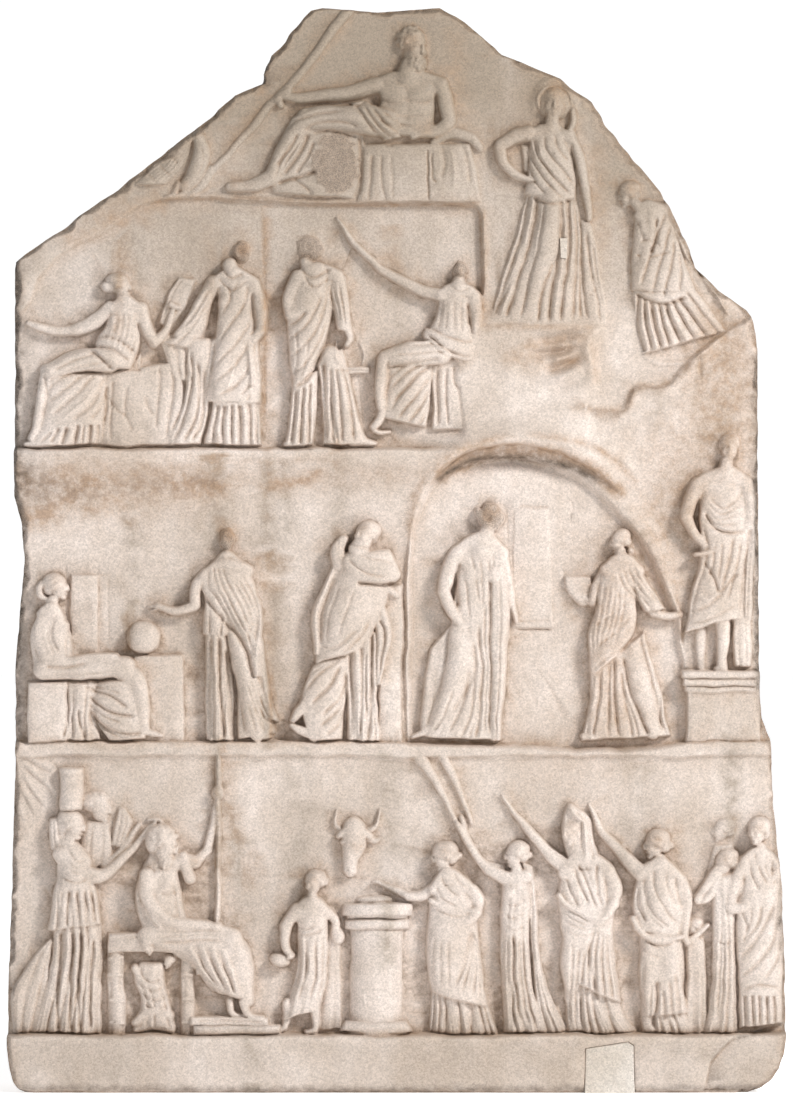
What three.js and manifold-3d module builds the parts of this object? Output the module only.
// A marble votive relief: one upright slab with a broken, mountain-shaped top, carved on its front in four
// tiers of small draped figures, with a cave, an altar and a statue on a pedestal. Two repairs are let into it.
// Millimetres, +Z up, the carved front faces -Y, and the origin is under the middle of the foot.
import * as THREE from "three";
import { mergeVertices } from "three/addons/utils/BufferGeometryUtils.js";
import Module from "manifold-3d";

const wasm = await Module();
wasm.setup();

// Driving sizes. A rise is a height out of the carved field, towards the front, and a negative one is a recess.
const WIDTH = 826;
const HEIGHT = 1150;
const DEPTH = 170;
const RELIEF = 34; // rise of the highest carving
const FOOT = { top: 61, rise: 30 }; // the plain band at the foot
const FRIEZE = { bottom: 356, top: 371, rise: 26 }; // the inscribed fillet, on which the cave's tier stands
const SUMMIT_FLOOR = 942;
const CAVE_RISE = -10;
const JOINT_GAP = 0.4; // between the slab and each repair
const SUNK = 14; // how far a carved form runs back into the slab
const FIELD = RELIEF - DEPTH / 2; // y of the carved field
const MARGIN = 20; // how far the uncut block reaches past the outline that trims it

const LIMB_SIDES = 6;
const BALL = { sides: 8, rings: 6 };
const DRUM_SIDES = 12;
const CLOTH_ROWS = 3;

// ---------------------------------------------------------------- solids

/** A closed three.js geometry as a solid that can be joined and cut. */
function solid(geometry) {
  const bare = new THREE.BufferGeometry();
  bare.setAttribute("position", geometry.getAttribute("position").clone());
  bare.setIndex(geometry.index ? geometry.index.clone() : null);
  const merged = mergeVertices(bare, 1e-3);
  return new wasm.Manifold(
    new wasm.Mesh({
      numProp: 3,
      vertProperties: merged.attributes.position.array,
      triVerts: new Uint32Array(merged.index.array),
    }),
  );
}

const join = (solids) => solids.reduce((whole, next) => whole.add(next));

/** Moves every vertex of a geometry by a function of its place. */
function shaped(geometry, move) {
  const place = geometry.getAttribute("position");
  const point = new THREE.Vector3();
  for (let i = 0; i < place.count; i += 1) {
    point.fromBufferAttribute(place, i);
    move(point);
    place.setXYZ(i, point.x, point.y, point.z);
  }
  return geometry;
}

/** A named mesh of a finished solid, in its own material. */
function mesh(name, made, material) {
  const { numProp, vertProperties, triVerts } = made.getMesh();
  const geometry = new THREE.BufferGeometry();
  geometry.setAttribute("position", new THREE.BufferAttribute(vertProperties, numProp));
  geometry.setIndex(new THREE.BufferAttribute(triVerts, 1));
  geometry.computeVertexNormals();
  const piece = new THREE.Mesh(geometry, material);
  piece.name = name;
  return piece;
}

// ---------------------------------------------------------------- carved forms, each placed by [x, z]

/** A flat-faced plate of the given outline, a list of corners or a THREE.Shape, from one rise to another. */
function plate(outline, rise, from = -SUNK) {
  const shape = outline instanceof THREE.Shape
    ? outline
    : new THREE.Shape(outline.map(([x, z]) => new THREE.Vector2(x, z)));
  const geometry = new THREE.ExtrudeGeometry(shape, { depth: rise - from, bevelEnabled: false, curveSegments: 5 });
  return solid(geometry.rotateX(Math.PI / 2).translate(0, FIELD - from, 0));
}

/** A plate with square corners. */
function block([left, right], [bottom, top], rise, from = -SUNK) {
  return plate([[left, bottom], [right, bottom], [right, top], [left, top]], rise, from);
}

/** A moulding of one section, listed as [rise, z], that runs along x. */
function moulding(section, [left, right]) {
  const shape = new THREE.Shape(section.map(([rise, z]) => new THREE.Vector2(rise, z)));
  const run = new THREE.ExtrudeGeometry(shape, { depth: right - left, bevelEnabled: false });
  return solid(shaped(run, (p) => p.set(right - p.z, FIELD - p.x, p.y)));
}

/** A round drum half let into the field, turned from a profile of [radius, z]. */
function drum(x, profile, rise) {
  const turned = new THREE.LatheGeometry(profile.map(([r, z]) => new THREE.Vector2(r, z)), DRUM_SIDES);
  const widest = Math.max(...profile.map(([r]) => r));
  return solid(turned.rotateX(Math.PI / 2).scale(1, rise / widest, 1).translate(x, FIELD, 0));
}

/** A rounded mass, such as a head, a chest or a globe, whose middle stands lift out of the field. */
function ball([x, z], [rx, rz], rise, lift = 0) {
  const sphere = new THREE.SphereGeometry(1, BALL.sides, BALL.rings);
  return solid(sphere.rotateX(Math.PI / 2).scale(rx, rise - lift, rz).translate(x, FIELD - lift, z));
}

/** A tapering limb, staff or roll of cloth that follows a path across the face, its back let into the field. */
function limb(path, radii = [8, 7, 5], lift = 10) {
  const curve = new THREE.CatmullRomCurve3(path.map(([x, z]) => new THREE.Vector3(x, 0, z)));
  const steps = path.length > 2 ? path.length : 1;
  const tube = new THREE.CylinderGeometry(1, 1, 1, LIMB_SIDES, steps);
  const last = radii.length - 1;
  return solid(shaped(tube, (p) => {
    const along = p.y + 0.5;
    const [middle, run] = [curve.getPoint(along), curve.getTangent(along)];
    const stop = Math.min(Math.floor(along * last), last - 1);
    const radius = THREE.MathUtils.lerp(radii[stop], radii[stop + 1], along * last - stop);
    const y = p.z > 0 ? FIELD - lift - p.z * radius : FIELD + SUNK;
    p.set(middle.x + run.z * p.x * radius, y, middle.z - run.x * p.x * radius);
  }));
}

/** Cloth between a left and a right edge, each listed from the top down, with upright folds that deepen towards
 * the hem. Its middle stands rise out of the field. */
function drape(left, right, rise = 26, folds = 3, depth = 5) {
  const columns = 2 * folds + 2;
  const cloth = new THREE.BoxGeometry(1, 1, 1, columns, 1, CLOTH_ROWS);
  const edge = (points) => new THREE.SplineCurve(points.map(([x, z]) => new THREE.Vector2(x, z)));
  const [leftEdge, rightEdge] = [edge(left), edge(right)];
  return solid(shaped(cloth, (p) => {
    const [across, down] = [p.x + 0.5, 0.5 - p.z];
    const place = leftEdge.getPoint(down).lerp(rightEdge.getPoint(down), across);
    const round = Math.sqrt(Math.max(1 - (2 * across - 1) ** 4, 0.16));
    const fold = Math.round(across * columns) % 2 ? 0 : depth * down;
    p.set(place.x, p.y > 0 ? FIELD + SUNK : FIELD - rise * round + fold, place.y);
  }));
}

/** A skirt or cloak that hangs level: each row is [z, left, right], from the top down. */
function skirt(rows, ...cut) {
  return drape(rows.map(([z, left]) => [left, z]), rows.map(([z, , right]) => [right, z]), ...cut);
}

/** A draped figure: its head and chest as [middle, size, rise], its skirts as the arguments of skirt, its laps as
 * those of drape, and its limbs as those of limb. */
function figure({ head, chest, skirts = [], laps = [], limbs = [], lift = 8 }) {
  const parts = [
    ...skirts.map((cut) => skirt(...cut)),
    ...laps.map((cut) => drape(...cut)),
    ...limbs.map((cut) => limb(...cut)),
  ];
  if (chest) parts.push(ball(...chest));
  if (head) parts.push(ball(...head, lift));
  return join(parts);
}

// ---------------------------------------------------------------- the block

/** The broken outline of the slab, from the left foot up over the top and down the right side. */
function outline() {
  const side = WIDTH / 2;
  const shape = new THREE.Shape();
  const leftAndTop = [
    [-412, 120], [-405, 330], [-405, 450], [-396, 560], [-398, 600], [-406, 632], [-405, 880], [-379, 900],
    [-307, 950], [-208, 1025], [-172, 1057], [-144, 1069], [-135, 1099], [-92, 1147], [-80, HEIGHT],
    [-20, 1145], [46, HEIGHT], [66, 1140], [113, 1100], [175, 1075], [207, 1050], [243, 1000], [284, 950],
    [308, 900], [319, 874], [342, 850], [372, 829],
  ];
  const right = [[386, 420], [388, 396], [397, 374], [401, 300], [409, 215], [side, 130], [side, 60]];
  shape.moveTo(-394, 0);
  shape.quadraticCurveTo(-side, 4, -side, 60);
  for (const [x, z] of leftAndTop) shape.lineTo(x, z);
  shape.quadraticCurveTo(383, 815, 383, 780);
  for (const [x, z] of right) shape.lineTo(x, z);
  shape.quadraticCurveTo(410, 8, 372, 0);
  return shape;
}

/** The face before the figures: a plain block, larger than the slab, with ledges and rock and the cave cut in. */
function mountain() {
  const wide = WIDTH / 2 + MARGIN;
  const tall = HEIGHT + MARGIN;
  const full = [-wide, wide];
  const cave = [[12, 371], [8, 470], [10, 570], [24, 630], [60, 666], [110, 678], [170, 673], [225, 650],
    [266, 606], [290, 545], [299, 470], [302, 371]];
  const ledge = [[-SUNK, 588], [5, 606], [24, 648], [29, 668], [27, 679], [22, 683], [-SUNK, 683]];
  const rock = [[20, 674], [wide, 674], [wide, 812], [345, 803], [320, 783], [290, 752], [255, 745], [240, 724],
    [205, 727], [205, 812], [95, 812], [95, 760], [80, 716], [20, 700]];
  const peak = [[-310, 948], [-260, SUMMIT_FLOOR], [88, SUMMIT_FLOOR], [98, 812], [240, 812], [340, 800],
    [wide, 830], [wide, tall], [-wide, tall], [-wide, 948]];
  return join([
    block(full, [-MARGIN, tall], 0, RELIEF - DEPTH - MARGIN),
    block(full, [-MARGIN, FOOT.top], FOOT.rise),
    block(full, [FRIEZE.bottom, FRIEZE.top], FRIEZE.rise),
    moulding(ledge, [-wide, 300]),
    plate(rock, 20),
    plate([[95, 790], [205, 790], [200, 814], [98, 814]], 27),
    plate(peak, 6),
    block([-145, 86], [SUMMIT_FLOOR, 956], 16),
    block([299, wide], [376, 426], 20),
    block([297, wide], [426, 445], 26),
  ]).subtract(plate(cave, RELIEF + 1, CAVE_RISE));
}

// ---------------------------------------------------------------- the figures

/** The top tier: the god with his sceptre and eagle, the mother of the muses, and a muse who runs down. */
function summitTier() {
  const god = figure({
    head: [[17, 1108], [18, 20], 30],
    chest: [[10, 1044], [32, 40], 26],
    laps: [
      [
        [[-128, 1028], [-136, 1000], [-144, 966], [-142, 950]],
        [[-12, 1034], [-24, 1005], [-34, 980], [-40, 950]],
        19, 2, 3,
      ],
    ],
    skirts: [[[[1008, -34, 76], [975, -32, 84], [944, -34, 84]], 18, 2, 4]],
    limbs: [
      [[[-12, 1074], [-62, 1064], [-116, 1056]], [10, 8, 5], 8],
      [[[48, 1074], [57, 1030], [28, 1014]], [9, 8, 7], 12],
      [[[-140, 968], [-178, 960]], [6, 4], 6],
    ],
  });
  const mother = figure({
    head: [[170, 1052], [18, 19], 28],
    chest: [[164, 985], [30, 52], 24],
    skirts: [
      [[[940, 136, 192], [900, 124, 194], [860, 110, 192], [814, 98, 194]], 25],
      [[[925, 194, 208], [880, 196, 216], [814, 196, 216]], 10, 1, 3],
    ],
    limbs: [
      [[[142, 1020], [106, 1002], [140, 967]]],
      [[[186, 1014], [196, 965], [203, 926]], [8, 6, 4], 8],
    ],
  });
  const runner = figure({
    head: [[246, 950], [15, 16], 22],
    chest: [[268, 918], [22, 34], 18],
    laps: [[[[248, 900], [246, 850], [254, 800], [260, 768]], [[296, 905], [310, 860], [330, 825], [346, 802]], 20]],
    limbs: [[[[262, 926], [252, 905], [250, 862]], [7, 6, 5], 8]],
    lift: 6,
  });
  const sceptre = limb([[-52, 1146], [-190, 976]], [3, 3], 5);
  const eagle = ball([-236, 984], [34, 22], 8);
  return [god, mother, runner, sceptre, eagle];
}

/** The second tier: two standing muses between two who sit. */
function museTier() {
  const withTablet = figure({
    head: [[-296, 854], [16, 16], 28],
    chest: [[-290, 806], [24, 42], 28],
    skirts: [[[[768, -376, -280], [740, -376, -306], [708, -380, -314], [685, -386, -316]]]],
    limbs: [[[[-302, 832], [-342, 808], [-388, 816]], [9, 7, 5]], [[[-268, 828], [-252, 798], [-234, 836]]]],
  });
  const armsLowered = figure({
    head: [[-163, 889], [10, 14], 18],
    chest: [[-170, 826], [28, 48], 30],
    skirts: [[[[790, -198, -148], [760, -205, -145], [715, -222, -143], [685, -240, -142]], 28, 4]],
    laps: [
      [
        [[-204, 862], [-222, 830], [-232, 800], [-226, 752]],
        [[-184, 866], [-190, 830], [-196, 800], [-206, 752]],
        14, 1,
      ],
    ],
    limbs: [[[[-148, 854], [-142, 822], [-158, 795]], [8, 7, 6], 14]],
    lift: 4,
  });
  const withLyre = figure({
    chest: [[-86, 815], [32, 62], 30],
    skirts: [
      [[[770, -112, -62], [745, -114, -52], [712, -120, -36], [685, -126, -24]], 28, 4],
      [[[800, -66, -48], [765, -64, -34], [740, -56, -44]], 12, 1, 2],
    ],
    limbs: [
      [[[-114, 866], [-112, 830], [-93, 852]], [10, 10, 7], 12],
      [[[-60, 870], [-48, 830], [-54, 800]], [10, 9, 6]],
    ],
  });
  const pointing = figure({
    head: [[62, 866], [13, 15], 18],
    chest: [[62, 815], [28, 44], 28],
    skirts: [[[[775, -20, 70], [750, -14, 68], [722, -20, 66], [704, -28, 70]], 26, 4]],
    limbs: [
      [[[42, 848], [0, 862], [-38, 892], [-64, 925]], [8, 6, 4, 2.5], 7],
      [[[84, 852], [84, 832], [74, 826]], [10, 10, 9], 12],
    ],
    lift: 4,
  });
  const seats = [block([-312, -238], [684, 762], 20), block([60, 86], [704, 772], 14)];
  const tablet = block([-244, -222], [836, 864], 7);
  return [withTablet, armsLowered, withLyre, pointing, ...seats, tablet];
}

/** The third tier, left of the cave: a seated muse, one with a globe and one who leans in her cloak. */
function museTierBelow() {
  const seated = figure({
    head: [[-365, 534], [19, 17], 28],
    chest: [[-368, 485], [20, 38], 28],
    laps: [
      [
        [[-356, 448], [-352, 430], [-350, 400], [-350, 372]],
        [[-282, 462], [-276, 440], [-272, 405], [-258, 376]],
        26, 4,
      ],
    ],
    limbs: [
      [[[-372, 448], [-330, 452], [-285, 456]], [14, 13, 12], 14],
      [[[-374, 500], [-366, 456], [-318, 460], [-292, 466]], [10, 9, 7, 5], 14],
    ],
  });
  const withGlobe = figure({
    head: [[-184, 583], [13, 16], 28],
    chest: [[-178, 512], [30, 48], 30],
    skirts: [[[[490, -205, -148], [450, -204, -144], [410, -203, -134], [372, -202, -124]], 28, 4]],
    limbs: [[[[-208, 545], [-216, 512], [-264, 513]], [8, 7, 4], 14]],
  });
  const leaning = figure({
    head: [[-30, 591], [21, 14], 30],
    chest: [[-50, 512], [40, 72], RELIEF],
    skirts: [[[[468, -88, -16], [440, -95, -16], [405, -106, -16], [372, -96, -16]], 26, 4]],
    limbs: [
      [[[-62, 570], [-84, 528], [-86, 472]], [7, 6, 5], 8],
      [[[-52, 562], [-28, 562], [-2, 545]], [13, 13, 10], 18],
    ],
  });
  const seat = block([-390, -350], [371, 435], 26);
  const pillar = block([-280, -226], [371, 466], 14);
  const globe = ball([-270, 483], [18, 18], 22);
  return [seated, withGlobe, leaning, seat, pillar, globe];
}

/** The cave with the lyre-playing god and a woman with a bowl, and a poet's statue to the right of it. */
function caveTier() {
  const god = figure({
    head: [[96, 609], [14, 15], 26],
    chest: [[92, 545], [28, 48], 30],
    skirts: [[[[530, 66, 118], [470, 52, 119], [420, 36, 120], [373, 20, 120]], 28, 4]],
    limbs: [[[[64, 574], [50, 535], [70, 492]], [11, 9, 6], 12]],
    lift: 6,
  });
  const withBowl = figure({
    head: [[236, 582], [14, 15], 26],
    chest: [[234, 520], [32, 58], 28],
    skirts: [[[[480, 202, 252], [440, 202, 262], [405, 198, 276], [373, 192, 290]], 26, 4]],
    limbs: [
      [[[222, 556], [206, 514], [182, 544]], [8, 7, 4], 2],
      [[[258, 548], [276, 512], [290, 504]], [8, 7, 4], 4],
    ],
    lift: 6,
  });
  const statue = figure({
    head: [[350, 684], [14, 16], 24],
    chest: [[346, 608], [31, 60], 26],
    laps: [[[[318, 560], [312, 520], [304, 482]], [[370, 560], [368, 530], [366, 500]], 24]],
    limbs: [
      [[[318, 648], [305, 612], [324, 572]], [9, 8, 6], 12],
      [[[322, 484], [322, 446]], [7, 6], 8],
      [[[350, 492], [352, 446]], [7, 7], 10],
    ],
  });
  const lyre = block([118, 160], [492, 620], CAVE_RISE + 6);
  return [god, withBowl, statue, lyre];
}

/** The left end of the foot tier: the crowned goddess, Time behind her, and the enthroned poet. */
function enthronement() {
  const goddess = figure({
    head: [[-344, 285], [14, 15], 28],
    chest: [[-342, 246], [22, 24], 28],
    skirts: [
      [[[182, -364, -313], [140, -366, -311], [100, -378, -310], [62, -392, -309]], 26, 4],
      [[[230, -362, -320], [200, -366, -316], [176, -371, -314]], 28],
    ],
    limbs: [[[[-350, 252], [-312, 230], [-264, 284]], [9, 8, 4], 14], [[[-345, 298], [-344, 341]], [12, 14]]],
  });
  const curtain = skirt([[360, -400, -384], [310, -398, -362], [250, -392, -378]], 8, 2, 3);
  const time = ball([-320, 300], [13, 15], 14);
  const poet = figure({
    head: [[-243, 262], [19, 18], 30],
    chest: [[-250, 205], [26, 46], 30],
    laps: [
      [
        [[-262, 166], [-228, 140], [-206, 118], [-200, 98]],
        [[-168, 168], [-160, 145], [-156, 118], [-152, 92]],
        28,
      ],
    ],
    limbs: [
      [[[-264, 225], [-242, 182], [-195, 175]], [10, 9, 6], 16],
      [[[-228, 232], [-203, 252], [-191, 312]], [7, 6, 4], 6],
    ],
  });
  const sceptre = limb([[-189, 356], [-189, 180]], [2.5, 2.5], 5);
  const throne = [
    block([-311, -286], [62, 166], 18),
    block([-311, -216], [150, 166], 20),
    block([-232, -216], [62, 150], 18),
    block([-232, -128], [62, 76], 24),
  ];
  const kneeling = ball([-250, 105], [24, 34], 18);
  return [goddess, curtain, time, poet, sceptre, ...throne, kneeling];
}

/** The middle of the foot tier: the serving boy, the round altar and the bull behind it. */
function sacrifice() {
  const boy = figure({
    head: [[-88, 218], [14, 14], 26],
    chest: [[-92, 168], [22, 34], 26],
    skirts: [[[[150, -108, -70], [120, -112, -62], [84, -117, -60]], 24]],
    limbs: [
      [[[-112, 190], [-119, 170], [-113, 148]], [7, 6, 5], 12],
      [[[-72, 190], [-60, 172], [-62, 160]], [7, 7, 7]],
      [[[-113, 84], [-112, 62]], [6, 6]],
      [[[-90, 88], [-88, 62]], [6, 6]],
    ],
  });
  const jug = ball([-124, 138], [14, 9], 18, 4);
  const altar = drum(-21, [[0, 60], [39, 60], [39, 75], [30, 78], [30, 170], [34, 174], [34, 199], [0, 199]], 31);
  const bull = [
    skirt([[276, -58, -34], [255, -56, -38], [228, -58, -42]], 18, 1, 1),
    ball([6, 250], [26, 20], 5),
  ];
  return [boy, jug, altar, ...bull];
}

/** The worshippers who raise their arms, from the altar to the right end of the foot tier. */
function worshippers() {
  const sacrificing = figure({
    head: [[48, 251], [16, 16], 26],
    chest: [[60, 205], [24, 30], 24],
    skirts: [[[[190, 32, 86], [150, 29, 90], [100, 32, 98], [62, 34, 110]], 25, 4]],
    limbs: [[[[42, 216], [12, 207], [-20, 222]], [7, 5, 3.5], 8], [[[80, 214], [82, 190], [58, 178]], [7, 6, 5], 16]],
  });
  const withTorches = figure({
    head: [[123, 249], [16, 16], 26],
    skirts: [[[[225, 110, 146], [170, 109, 150], [110, 108, 160], [62, 106, 184]], 22, 4]],
    limbs: [
      [[[136, 228], [102, 232], [74, 266], [60, 288]], [7, 7, 5, 4], 9],
      [[[64, 278], [24, 348]], [4, 6], 4],
      [[[70, 300], [46, 354]], [4, 5], 4],
    ],
  });
  const veiled = figure({
    chest: [[205, 220], [30, 40], 26],
    skirts: [
      [[[205, 172, 234], [160, 171, 238], [110, 178, 246], [62, 188, 256]], 26, 4],
      [[[302, 182, 188], [280, 176, 200], [258, 172, 208]], 24, 1, 1],
    ],
    limbs: [
      [[[178, 242], [148, 266], [114, 310]], [8, 6, 3.5], 9],
      [[[230, 232], [231, 206], [214, 184]], [8, 7, 5], 14],
    ],
  });
  const bareheaded = figure({
    head: [[277, 262], [19, 16], 28],
    chest: [[277, 210], [28, 46], 27],
    skirts: [[[[205, 250, 305], [160, 254, 302], [110, 258, 308], [62, 262, 318]], 25, 4]],
    limbs: [[[[254, 222], [226, 258], [202, 304]], [8, 6, 3.5], 9]],
  });
  const child = figure({
    head: [[311, 170], [10, 11], 14],
    skirts: [[[[150, 303, 322], [110, 303, 328], [62, 303, 328]], 12, 1, 3]],
    lift: 4,
  });
  const inRear = figure({
    head: [[346, 244], [15, 14], 24],
    skirts: [[[[225, 330, 358], [160, 332, 358], [110, 328, 358], [62, 326, 358]], 20, 2]],
    limbs: [[[[338, 240], [318, 204], [336, 196]], [6, 6, 5], 9]],
  });
  const last = figure({
    head: [[383, 273], [15, 17], 26],
    skirts: [[[[240, 356, 404], [170, 358, 408], [110, 360, 411], [68, 362, 411]], 24, 4]],
    limbs: [[[[362, 232], [356, 198], [392, 214]], [8, 8, 5], 14]],
  });
  const headBehind = ball([346, 277], [12, 13], 12, 2);
  return [sacrificing, withTorches, veiled, bareheaded, child, inRear, last, headBehind];
}

// ---------------------------------------------------------------- the repairs

// Each repair is a plug let into a pocket: its corners, its rise, and how far back it reaches.
const REPAIRS = {
  foot_repair_block: { corners: [[199, 0], [252, 0], [251, 50], [245, 54], [200, 47]], rise: 29, from: -30 },
  skirt_repair_plug: { corners: [[174, 884], [180, 883], [181, 905], [173, 905]], rise: 23, from: -8 },
};

/** The same corners, moved outwards from their middle by the joint's width. */
function widened(corners, gap) {
  const middle = corners.reduce(([x, z], [cx, cz]) => [x + cx / corners.length, z + cz / corners.length], [0, 0]);
  return corners.map(([x, z]) => [x + gap * Math.sign(x - middle[0]), z + gap * Math.sign(z - middle[1])]);
}

// ---------------------------------------------------------------- assembly

const marble = new THREE.MeshStandardMaterial({ color: 0xdbcfc0, roughness: 0.68, metalness: 0 });
const repairStone = new THREE.MeshStandardMaterial({ color: 0xd3d2cc, roughness: 0.8, metalness: 0 });

const tiers = [summitTier, museTier, museTierBelow, caveTier, enthronement, sacrifice, worshippers];
const carved = join([mountain(), ...tiers.flatMap((tier) => tier())]);
let slab = carved.intersect(plate(outline(), RELIEF, RELIEF - DEPTH));
for (const { corners, from } of Object.values(REPAIRS))
  slab = slab.subtract(plate(widened(corners, JOINT_GAP), RELIEF + 1, from - JOINT_GAP));

const stele = new THREE.Group();
stele.add(mesh("carved_slab", slab, marble));
for (const [name, { corners, rise, from }] of Object.entries(REPAIRS))
  stele.add(mesh(name, plate(corners, rise, from), repairStone));

export default stele;
